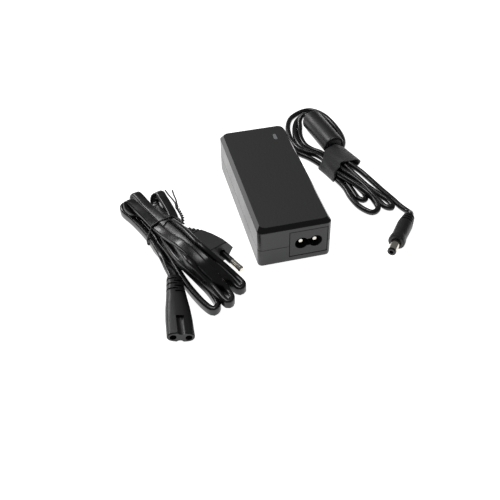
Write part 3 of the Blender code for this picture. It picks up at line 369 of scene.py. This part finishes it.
def laid_mains_cord():
    """The two cores of the flat mains cord at rest."""
    places = []
    for x, y, height, _ in MAINS_ROUTE:
        shown = np.array((x, y, MAINS_PLANE))
        places.append(EYE + (shown - EYE) * (EYE[2] - height) / (EYE[2] - MAINS_PLANE))
    places = np.array(places)
    onward = unit(np.gradient(places, axis=0) * (1, 1, 0))
    wide = np.zeros_like(places)
    turns = [turn for *_, turn in MAINS_ROUTE]
    for k, turn in enumerate(turns):
        if turn is not None:
            angle = math.radians(turn)
            wide[k] = math.cos(angle) * across_of(onward[k]) + math.sin(angle) * UP
    for k, turn in enumerate(turns):
        if turn is None:
            wide[k] = (wide[k - 1] + wide[k + 1]) / 2
    line = spline(np.hstack((places, wide)), MAINS_STEP)
    middle, wide = line[:, :3], line[:, 3:]
    wide = unit(square_to(wide, tangents(middle)))
    half = (MAINS_WIDTH - MAINS_THICKNESS) / 2
    rows = np.stack((middle - half * wide, middle + half * wide))
    stations = np.arange(len(middle))
    fixed = np.concatenate((stations[:HELD_AT_END], stations[-HELD_AT_END:]))
    return settle(rows, MAINS_THICKNESS / 2, fixed, (over_slim_plug,), MAINS_PASSES,
                  pull=0.08, gap=4, smooth=5, sink=0.02)


def finer(line, times):
    """The same line with more points on it."""
    return spline(line, np.linalg.norm(np.diff(line[:, :3], axis=0), axis=1).mean() / times)


def new_piece(name, points, faces, material, crease):
    """An object from points in mm, smooth but for edges where faces turn by more than the crease."""
    mesh = bpy.data.meshes.new(name)
    mesh.from_pydata((points.reshape(-1, 3) * MM).tolist(), [], faces)
    mesh.validate()
    mesh.shade_smooth()
    mesh.set_sharp_from_angle(angle=math.radians(crease))
    mesh.materials.append(material)
    piece = bpy.data.objects.new(name, mesh)
    bpy.context.scene.collection.objects.link(piece)
    return piece


def ring_faces(count, around, closed):
    """The four-sided faces between rings of points, and from the last to the first where closed."""
    faces = []
    for i in range(count if closed else count - 1):
        near, far = i * around, (i + 1) % count * around
        for k in range(around):
            after = (k + 1) % around
            faces.append((near + k, near + after, far + after, far + k))
    return faces


def frames(line):
    """Two directions square to the line and to each other, turning as little as they can."""
    ahead = tangents(line)
    side = unit(np.cross(ahead[0], (0.03, 0.02, 1.0)))
    sides = []
    for direction in ahead:
        side = unit(side - (side @ direction) * direction)
        sides.append(side)
    sides = np.array(sides)
    return sides, np.cross(ahead, sides)


def swept(name, line, outline, sides, ups, material):
    """A mesh of one outline carried along a line, closed at both ends."""
    rings = line[:, None] + outline[None, :, :1] * sides[:, None] + outline[None, :, 1:] * ups[:, None]
    count, around = rings.shape[:2]
    faces = ring_faces(count, around, closed=False)
    faces.append(tuple(reversed(range(around))))
    faces.append(tuple(range((count - 1) * around, count * around)))
    return new_piece(name, rings, faces, material, crease=60)


def circle(radius, count):
    """Points round a circle about the middle."""
    turn = np.linspace(0, 2 * math.pi, count, endpoint=False)
    return radius * np.stack((np.cos(turn), np.sin(turn)), axis=1)


def flat_cord_outline():
    """The section of the flat cord: level faces and rounded edges."""
    half, rise = MAINS_WIDTH / 2 - MAINS_EDGE, MAINS_THICKNESS / 2 - MAINS_EDGE
    points = []
    for number, (across, up) in enumerate(((1, 1), (-1, 1), (-1, -1), (1, -1))):
        for turn in np.radians(np.linspace(90 * number, 90 * number + 90, 6)):
            points.append((across * half + MAINS_EDGE * math.cos(turn),
                           up * rise + MAINS_EDGE * math.sin(turn)))
    return np.array(points)


# ---------------------------------------------------------------- finishes

# Nearly all of a noise's values lie between these.
NOISE_SPREAD = {"From Min": 0.3, "From Max": 0.7}
GLOSS_DRIFT = 0.05


def feed(tree, made, inputs):
    """Fill a node's inputs: a socket is linked, and a number or colour is set."""
    for name, value in inputs.items():
        if isinstance(value, bpy.types.NodeSocket):
            tree.links.new(value, made.inputs[name])
        else:
            made.inputs[name].default_value = value


def node(tree, kind, inputs=None, **settings):
    """Add one node with its settings, and with the values or sockets that go into its inputs."""
    made = tree.nodes.new("ShaderNode" + kind)
    for name, value in settings.items():
        setattr(made, name, value)
    feed(tree, made, inputs or {})
    return made


def per_grain(size):
    """The scale at which a noise has grains of that size in metres."""
    return 0.5 / size


def finish(name, colour, roughness, metallic=0.0, ior=1.5):
    """A material with a Principled shader of one colour; its tree, shader and object coordinates."""
    material = bpy.data.materials.new(name)
    material.use_nodes = True
    tree = material.node_tree
    shader = tree.nodes["Principled BSDF"]
    feed(tree, shader, {"Base Color": linear(colour), "Roughness": roughness, "Metallic": metallic,
                        "IOR": ior})
    return material, tree, shader, node(tree, "TexCoord").outputs["Object"]


def moulded(name, dark, light, roughness, size, depth):
    """Moulded plastic: its colour and gloss drift a little, and its surface has a fine grain."""
    material, tree, shader, place = finish(name, light, roughness)
    drift = node(tree, "TexNoise", {"Vector": place, "Scale": per_grain(9 * MM), "Detail": 3})
    drift = drift.outputs["Fac"]
    colour = node(tree, "Mix", {"Factor": drift, "A": linear(dark), "B": linear(light)},
                  data_type="RGBA")
    gloss = node(tree, "MapRange", {"Value": drift, **NOISE_SPREAD, "To Min": roughness - GLOSS_DRIFT,
                                    "To Max": roughness + GLOSS_DRIFT})
    # A mould's own grain is near 0.1 mm; it is drawn as coarse as size says, so that it shows.
    texture = node(tree, "TexNoise", {"Vector": place, "Scale": per_grain(size), "Detail": 2})
    bump = node(tree, "Bump", {"Height": texture.outputs["Fac"], "Strength": 0.6, "Distance": depth})
    feed(tree, shader, {"Base Color": colour.outputs["Result"], "Roughness": gloss.outputs["Result"],
                        "Normal": bump.outputs["Normal"]})
    return material


def case_plastic():
    """Black polycarbonate: spark-textured on top, polished on the sloped rim, satin down the sides."""
    material, tree, shader, place = finish("black_polycarbonate_moulded", "1a1a1b", 0.4)
    height = node(tree, "SeparateXYZ", {"Vector": place}).outputs["Z"]
    drift = node(tree, "TexNoise", {"Vector": place, "Scale": per_grain(8 * MM), "Detail": 3})
    drift = drift.outputs["Fac"]
    satin = node(tree, "Mix", {"Factor": drift, "A": linear("1b1b1c"), "B": linear("222223")},
                 data_type="RGBA").outputs["Result"]
    textured = node(tree, "Mix", {"Factor": drift, "A": linear("1e1e1f"), "B": linear("242425")},
                    data_type="RGBA").outputs["Result"]
    # Up from the sides: where the polished rim and the textured top begin and are whole, in mm, and
    # the colour, roughness and strength of texture that each one brings.
    colour, gloss, strength = satin, 0.3, 0.25
    for begins, whole, tone, shine, relief in ((26.1, 26.3, linear("09090a"), 0.1, 0.0),
                                               (28.75, 28.9, textured, 0.62, 1.0)):
        share = node(tree, "MapRange", {"Value": height, "From Min": begins * MM,
                                        "From Max": whole * MM}).outputs["Result"]
        colour = node(tree, "Mix", {"Factor": share, "A": colour, "B": tone},
                      data_type="RGBA").outputs["Result"]
        gloss = node(tree, "Mix", {"Factor": share, "A": gloss, "B": shine}).outputs["Result"]
        strength = node(tree, "Mix", {"Factor": share, "A": strength, "B": relief}).outputs["Result"]
    smear = node(tree, "MapRange", {"Value": drift, **NOISE_SPREAD, "To Min": -0.03, "To Max": 0.03})
    gloss = node(tree, "Math", {0: gloss, 1: smear.outputs["Result"]}, operation="ADD").outputs[0]
    # The spark texture's grit is about 0.2 mm; it is drawn at 0.7 mm so that it shows.
    grit = node(tree, "TexNoise", {"Vector": place, "Scale": per_grain(0.7 * MM), "Detail": 2})
    bump = node(tree, "Bump", {"Height": grit.outputs["Fac"], "Strength": strength,
                               "Distance": 0.12 * MM})
    feed(tree, shader, {"Base Color": colour, "Roughness": gloss, "Normal": bump.outputs["Normal"]})
    return material


def cord_vinyl():
    """Soft black PVC, extruded: glossy, with slow ripples along the cord and a few dull smears."""
    material, tree, shader, place = finish("black_vinyl_extruded", "0c0c0d", 0.24)
    smear = node(tree, "TexNoise", {"Vector": place, "Scale": per_grain(5 * MM), "Detail": 3})
    gloss = node(tree, "MapRange", {"Value": smear.outputs["Fac"], **NOISE_SPREAD, "To Min": 0.18,
                                    "To Max": 0.34})
    ripple = node(tree, "TexNoise", {"Vector": place, "Scale": per_grain(6 * MM), "Detail": 1})
    bump = node(tree, "Bump", {"Height": ripple.outputs["Fac"], "Strength": 0.12,
                               "Distance": 0.1 * MM})
    feed(tree, shader, {"Roughness": gloss.outputs["Result"], "Normal": bump.outputs["Normal"]})
    return material


def strap_fabric():
    """Brushed nylon loop fabric: a napped face over a close weave, dull, with a soft sheen."""
    material, tree, shader, place = finish("black_nylon_loop_fabric", "2c2c2e", 0.9)
    nap = node(tree, "TexNoise", {"Vector": place, "Scale": per_grain(0.8 * MM), "Detail": 4,
                                  "Roughness": 0.7}).outputs["Fac"]
    colour = node(tree, "Mix", {"Factor": nap, "A": linear("141415"), "B": linear("2a2a2c")},
                  data_type="RGBA")
    # The weave's threads are 0.3 mm apart; they are drawn at 0.9 mm so that they show.
    weave = node(tree, "TexVoronoi", {"Vector": place, "Scale": 1 / (0.9 * MM)}, feature="F1")
    height = node(tree, "Math", {0: weave.outputs["Distance"], 1: nap}, operation="ADD").outputs[0]
    bump = node(tree, "Bump", {"Height": height, "Strength": 0.7, "Distance": 0.25 * MM})
    feed(tree, shader, {"Base Color": colour.outputs["Result"], "Normal": bump.outputs["Normal"],
                        "Sheen Weight": 0.5, "Sheen Roughness": 0.5})
    return material


def metal(name, colour, roughness, size):
    """Plated or rolled metal with rub marks, which blur its reflections here and there."""
    material, tree, shader, place = finish(name, colour, roughness, 1.0)
    # Rub marks are some 0.05 mm wide; they are drawn as coarse as size says, so that they show.
    marks = node(tree, "TexNoise", {"Vector": place, "Scale": per_grain(size), "Detail": 4,
                                    "Roughness": 0.6}).outputs["Fac"]
    gloss = node(tree, "MapRange", {"Value": marks, **NOISE_SPREAD, "To Min": roughness * 0.7,
                                    "To Max": roughness * 1.5})
    bump = node(tree, "Bump", {"Height": marks, "Strength": 0.1, "Distance": 0.01 * MM})
    feed(tree, shader, {"Roughness": gloss.outputs["Result"], "Normal": bump.outputs["Normal"]})
    return material


def clear_window():
    """Frosted clear polycarbonate over the light: milky, with a smooth face."""
    material, tree, shader, place = finish("frosted_polycarbonate", "a6a8ab", 0.25, ior=1.58)
    cloud = node(tree, "TexNoise", {"Vector": place, "Scale": per_grain(1.2 * MM), "Detail": 2})
    colour = node(tree, "Mix", {"Factor": cloud.outputs["Fac"], "A": linear("85878a"),
                                "B": linear("b4b6b9")}, data_type="RGBA")
    feed(tree, shader, {"Base Color": colour.outputs["Result"], "Transmission Weight": 0.25})
    return material


CASE = case_plastic()
CORD = cord_vinyl()
STRAP = strap_fabric()
WINDOW = clear_window()
# Soft vinyl moulded over cord ends and ferrite: satin black that holds one broad, soft highlight.
OVERMOULD = moulded("black_vinyl_overmould", "0f0f10", "161617", 0.42, 0.6 * MM, 0.06 * MM)
# Vinyl from a spark-eroded mould: an even, dry grain that breaks highlights up.
PLUG_SKIN = moulded("black_vinyl_spark_textured", "141415", "1e1e1f", 0.5, 0.7 * MM, 0.12 * MM)
# Glass-filled nylon: a little glossier than the case beside it.
SOCKET = moulded("black_nylon_moulded", "1b1b1c", "202021", 0.36, 0.6 * MM, 0.04 * MM)
# Turned acetal: deep black and slippery, with small bright highlights.
TIP = moulded("black_acetal_turned", "0a0a0b", "101011", 0.3, 0.8 * MM, 0.03 * MM)
# Plastic drawn over wire: black, half glossy, slightly uneven.
TIE = moulded("black_plastic_coated_wire", "101011", "161617", 0.34, 0.5 * MM, 0.04 * MM)
# Nickel plate over brass: a warm white mirror, clouded a little by rub marks.
NICKEL = metal("bright_nickel_plate", "d6d2c8", 0.14, 3 * MM)
# Rolled sheet: pale grey with a blurred shine.
ALUMINIUM = metal("rolled_aluminium", "c9cbce", 0.32, 0.4 * MM)
# Moulded epoxy: charcoal and matt.
EPOXY = moulded("black_moulded_epoxy", "161617", "1e1e1f", 0.55, 0.4 * MM, 0.03 * MM)
# Film shrunk over a can: dark navy with a tight, wet shine.
SLEEVE = moulded("navy_shrink_sleeve", "14172e", "1b1f3c", 0.22, 2 * MM, 0.03 * MM)
INNER_FINISHES = {
    # Polyester film, left blank: pale grey and satin.
    "rating_label": moulded("blank_polyester_label", "b4b5b6", "bcbdbe", 0.45, 0.5 * MM, 0.02 * MM),
    # Cast epoxy: milky and glossy.
    "status_led": moulded("diffused_epoxy_lamp", "d4d8da", "dfe3e5", 0.2, 1.5 * MM, 0.01 * MM),
    # Lacquer over glass cloth: deep green, faintly uneven.
    "circuit_board": moulded("green_solder_resist", "1c4a2a", "25592f", 0.35, 0.9 * MM, 0.03 * MM),
    # Punched film: milky and smooth.
    "insulation_sheet": moulded("milky_polyester_film", "b5b7b0", "c3c5be", 0.4, 2 * MM, 0.02 * MM),
    # Drawn glass: pale green-grey with sharp highlights.
    "fuse": moulded("clear_glass_tube", "c2cdc8", "ccd6d1", 0.08, 2 * MM, 0.01 * MM),
    # A potted plastic box: warm yellow and satin.
    "x_capacitor": moulded("yellow_moulded_box", "c9a42c", "d3b036", 0.42, 0.8 * MM, 0.04 * MM),
    # Dipped lacquer: blue and glossy, with a soft ripple.
    "y_capacitor": moulded("blue_dipped_ceramic", "275f9a", "2f6ba8", 0.25, 1.2 * MM, 0.05 * MM),
    # Enamelled wire, wound: red-brown copper with a broken, ribbed shine.
    "line_filter_choke": moulded("enamelled_copper_winding", "93491f", "ab5a2a", 0.3, 0.6 * MM,
                                 0.12 * MM),
    "output_choke": moulded("enamelled_copper_coil", "8d451d", "a65526", 0.3, 0.6 * MM, 0.12 * MM),
    # Pressed and fired ferrite: dark grey, dry and dull.
    "transformer_core": moulded("sintered_ferrite", "2b2b2d", "363638", 0.65, 0.5 * MM, 0.06 * MM),
    "ferrite_core": moulded("sintered_ferrite_tube", "2b2b2d", "363638", 0.65, 0.5 * MM, 0.06 * MM),
    # Wound tape: clear yellow with a smooth shine.
    "transformer_winding": moulded("yellow_polyester_tape", "c8ad2e", "d8bf3c", 0.3, 1.5 * MM,
                                   0.05 * MM),
    # Vinyl drawn over wire: plain colours, satin.
    "output_wire_positive": moulded("red_vinyl_wire", "921414", "a31a1a", 0.4, 0.8 * MM, 0.03 * MM),
    "output_wire_negative": moulded("black_vinyl_wire", "121213", "1a1a1b", 0.4, 0.8 * MM, 0.03 * MM),
}
NODE_FINISHES = {
    CASE: ("top_cover", "bottom_cover"),
    OVERMOULD: ("output_strain_relief", "ferrite_sleeve", "ferrite_end_cap", "output_plug_grip",
                "mains_connector_body"),
    PLUG_SKIN: ("mains_plug_body",),
    SOCKET: ("inlet_body",),
    TIP: ("output_plug_tip", "mains_pin_sleeve_left", "mains_pin_sleeve_right"),
    NICKEL: ("inlet_pin_left", "inlet_pin_right", "output_plug_barrel", "output_plug_contact",
             "connector_contact_left", "connector_contact_right", "mains_plug_pin_left",
             "mains_plug_pin_right"),
    ALUMINIUM: ("primary_heatsink", "output_heatsink"),
    WINDOW: ("led_window",),
    EPOXY: ("bridge_rectifier", "switching_transistor", "optocoupler", "controller_chip",
            "output_rectifier"),
    SLEEVE: ("bulk_capacitor", "output_capacitor_1", "output_capacitor_2"),
}


def dress(name, material):
    """Give a frame node its finish, and smooth its curved faces but not its edges."""
    piece = NODES[name]
    mesh = piece.data
    mesh.materials.clear()
    mesh.materials.append(material)
    if "custom_normal" in mesh.attributes:
        mesh.attributes.remove(mesh.attributes["custom_normal"])
    mesh.shade_smooth()
    weld = piece.modifiers.new("weld", "WELD")
    weld.merge_threshold = 0.002 * MM
    split = piece.modifiers.new("edges", "EDGE_SPLIT")
    split.split_angle = math.radians(28)
    weighted = piece.modifiers.new("face_weights", "WEIGHTED_NORMAL")
    weighted.keep_sharp = True


for finish_material, names in NODE_FINISHES.items():
    for node_name in names:
        dress(node_name, finish_material)
for node_name, finish_material in INNER_FINISHES.items():
    dress(node_name, finish_material)

# ---------------------------------------------------------------- cords

output_line = laid_output_cord()
output_fine = finer(output_line, 2)
sides, ups = frames(output_fine)
output_cord = swept("output_cord", output_fine, circle(OUTPUT_RADIUS, 16), sides, ups, CORD)
mains_rows = laid_mains_cord()
mains_fine = finer(np.hstack((mains_rows.mean(0), mains_rows[1] - mains_rows[0])), 2)
mains_line = mains_fine[:, :3]
ahead = tangents(mains_line)
wide = unit(square_to(mains_fine[:, 3:], ahead))
mains_cord = swept("mains_cord", mains_line, flat_cord_outline(), wide, np.cross(wide, ahead), CORD)

# ---------------------------------------------------------------- strap and twist tie

BUNDLE_REACH = 16


def crossings(line, centre, heading, station):
    """Where a cord passes through a plane square to the heading: how far to the side, and how high."""
    found = []
    along, side = split_along(line, centre, heading)
    along = along - station
    for k in np.flatnonzero(along[:-1] * along[1:] < 0):
        share = along[k] / (along[k] - along[k + 1])
        aside = side[k] + share * (side[k + 1] - side[k])
        if abs(aside) < BUNDLE_REACH:
            found.append((aside, line[k, 2] + share * (line[k + 1, 2] - line[k, 2])))
    return np.array(found)


def hoop(spots, radius, middle, count):
    """How far a loop pulled round a bundle of strands reaches, at even angles about the middle."""
    cloud = [Vector(spot + point) for spot in spots for point in circle(radius, 24)]
    hull = np.array([cloud[i] for i in geometry.convex_hull_2d(cloud)]) - middle
    after = np.roll(hull, -1, axis=0)
    normal = np.stack((after[:, 1] - hull[:, 1], hull[:, 0] - after[:, 0]), axis=1)
    away = (normal * hull).sum(1)
    normal *= np.sign(away)[:, None]
    away = np.abs(away)
    reach = []
    for turn in np.linspace(0, 2 * math.pi, count, endpoint=False):
        facing = normal @ (math.cos(turn), math.sin(turn))
        met = facing > 1e-9
        reach.append(np.min(away[met] / facing[met]))
    return np.array(reach)


def build_strap():
    """The hook-and-loop strap, pulled round the output cord, with its doubled end to one side."""
    stations = np.linspace(-STRAP_HALF_WIDTH, STRAP_HALF_WIDTH, 9)
    turns = np.linspace(0, 2 * math.pi, 96, endpoint=False)
    half = STRAP_THICKNESS / 2
    reach = []
    for station in stations:
        spots = np.vstack((crossings(output_line, STRAP_CENTRE, STRAP_HEADING, station), STRAP_TAB))
        reach.append(hoop(spots, OUTPUT_RADIUS + half + STRAP_SLACK, STRAP_MIDDLE, len(turns)))
    reach = np.array(reach)
    for _ in range(3):
        reach[1:-1] = (reach[:-2] + 2 * reach[1:-1] + reach[2:]) / 4
        reach = (np.roll(reach, 1, axis=1) + 2 * reach + np.roll(reach, -1, axis=1)) / 4
    across = across_of(STRAP_HEADING)
    rings = []
    for k, turn in enumerate(turns):
        out = np.array((math.cos(turn), math.sin(turn)))
        skew = 2.5 * math.cos(turn) - 3.5 * max(math.sin(turn), 0)
        outer, inner = [], []
        for station, far in zip(stations, reach[:, k]):
            centre = STRAP_CENTRE + (station + skew) * STRAP_HEADING
            for face, proud, lowest in ((outer, half, 0.1), (inner, -half, 0.1 + STRAP_THICKNESS)):
                spot = STRAP_MIDDLE + (far + proud) * out
                face.append(centre + spot[0] * across + max(spot[1], lowest) * UP)
        rings.append(outer + inner[::-1])
    rings = np.array(rings)
    faces = ring_faces(*rings.shape[:2], closed=True)
    return new_piece("hook_and_loop_strap_fabric", rings, faces, STRAP, crease=50)


def build_tie():
    """The twist tie: a wire loop round the mains cord, a twisted stem and two loose ends."""
    spots = np.vstack([crossings(row, TIE_CENTRE, TIE_HEADING, 0.0) for row in mains_rows])
    steps, whole = 60, 2 * math.pi
    reach = hoop(spots, MAINS_THICKNESS / 2 + TIE_RADIUS + TIE_SLACK, TIE_MIDDLE, steps)
    across = across_of(TIE_HEADING)
    loop = []
    for k in range(1, steps):
        turn = math.radians(150) + whole * k / steps
        far = np.interp(turn % whole, np.linspace(0, whole, steps + 1), np.append(reach, reach[0]))
        aside, height = TIE_MIDDLE + far * np.array((math.cos(turn), math.sin(turn)))
        loop.append(TIE_CENTRE + aside * across + max(height, 0.6) * UP)
    stem = spline(TIE_STEM, 0.5)
    side, lift = frames(stem)
    wires = []
    for phase, end in zip((0, math.pi), TIE_ENDS):
        turn = np.linspace(0, 7 * math.pi, len(stem))[:, None] + phase
        wire = [*(stem + TIE_TWIST * (np.cos(turn) * side + np.sin(turn) * lift))]
        for share in (0.2, 0.45, 0.7, 1.0):
            wave = np.array((0.5 * math.sin(5 * share), 0, 0))
            wire.append(stem[-1] + share * (np.array(end) - stem[-1]) + wave)
        wires.append(wire)
    line = spline(wires[0][::-1] + loop + wires[1], 0.6)
    return swept("twist_tie_wire", line, circle(TIE_RADIUS, 10), *frames(line), TIE)


strap = build_strap()
tie = build_tie()

# ---------------------------------------------------------------- what rides on what

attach(output_cord, "adapter")
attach(strap, "adapter")
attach(mains_cord, "mains_lead")
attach(tie, "mains_lead")
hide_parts("output_cord_tail", "output_cord_hank", "cord_through_ferrite",
            "output_cord_plug_lead")
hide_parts("hook_and_loop_strap")
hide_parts("connector_lead", "mains_cord_hank")
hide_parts("twist_tie")


# ---------------------------------------------------------------- floor and light


def build_floor():
    """A plain white table that shines a little, so that soft shadows stay pale."""
    material, tree, shader, _ = finish("white_studio_paper", "f4f4f4", 0.85)
    feed(tree, shader, {"Emission Color": (1, 1, 1, 1), "Emission Strength": 0.95})
    mesh = bpy.data.meshes.new("floor")
    mesh.from_pydata([(-5, -5, 0), (5, -5, 0), (5, 5, 0), (-5, 5, 0)], [], [(0, 1, 2, 3)])
    mesh.materials.append(material)
    floor = bpy.data.objects.new("floor", mesh)
    bpy.context.scene.collection.objects.link(floor)


def softbox(name, place, width, height, power):
    """A soft light that faces the set."""
    data = bpy.data.lights.new(name, "AREA")
    data.shape = "RECTANGLE"
    data.size = width
    data.size_y = height
    data.energy = power
    light = bpy.data.objects.new(name, data)
    light.location = place
    light.rotation_euler = (Vector(place) - Vector((0, 0, 0.01))).to_track_quat("Z", "Y").to_euler()
    bpy.context.scene.collection.objects.link(light)


def build_world():
    """White surroundings: bright behind the set, but dim as a light on it."""
    world = bpy.data.worlds.new("studio")
    bpy.context.scene.world = world
    world.use_nodes = True
    tree = world.node_tree
    seen = node(tree, "LightPath").outputs["Is Camera Ray"]
    power = node(tree, "MapRange", {"Value": seen, "To Min": 0.16, "To Max": 1.0}).outputs["Result"]
    feed(tree, tree.nodes["Background"], {"Strength": power, "Color": (1, 1, 1, 1)})


build_floor()
build_world()
softbox("overhead", (-0.1, 0.35, 1.1), 0.45, 0.45, 4)
softbox("back_left", (-0.75, 1.05, 0.8), 0.7, 0.3, 7)
bpy.context.scene.view_settings.view_transform = "Standard"
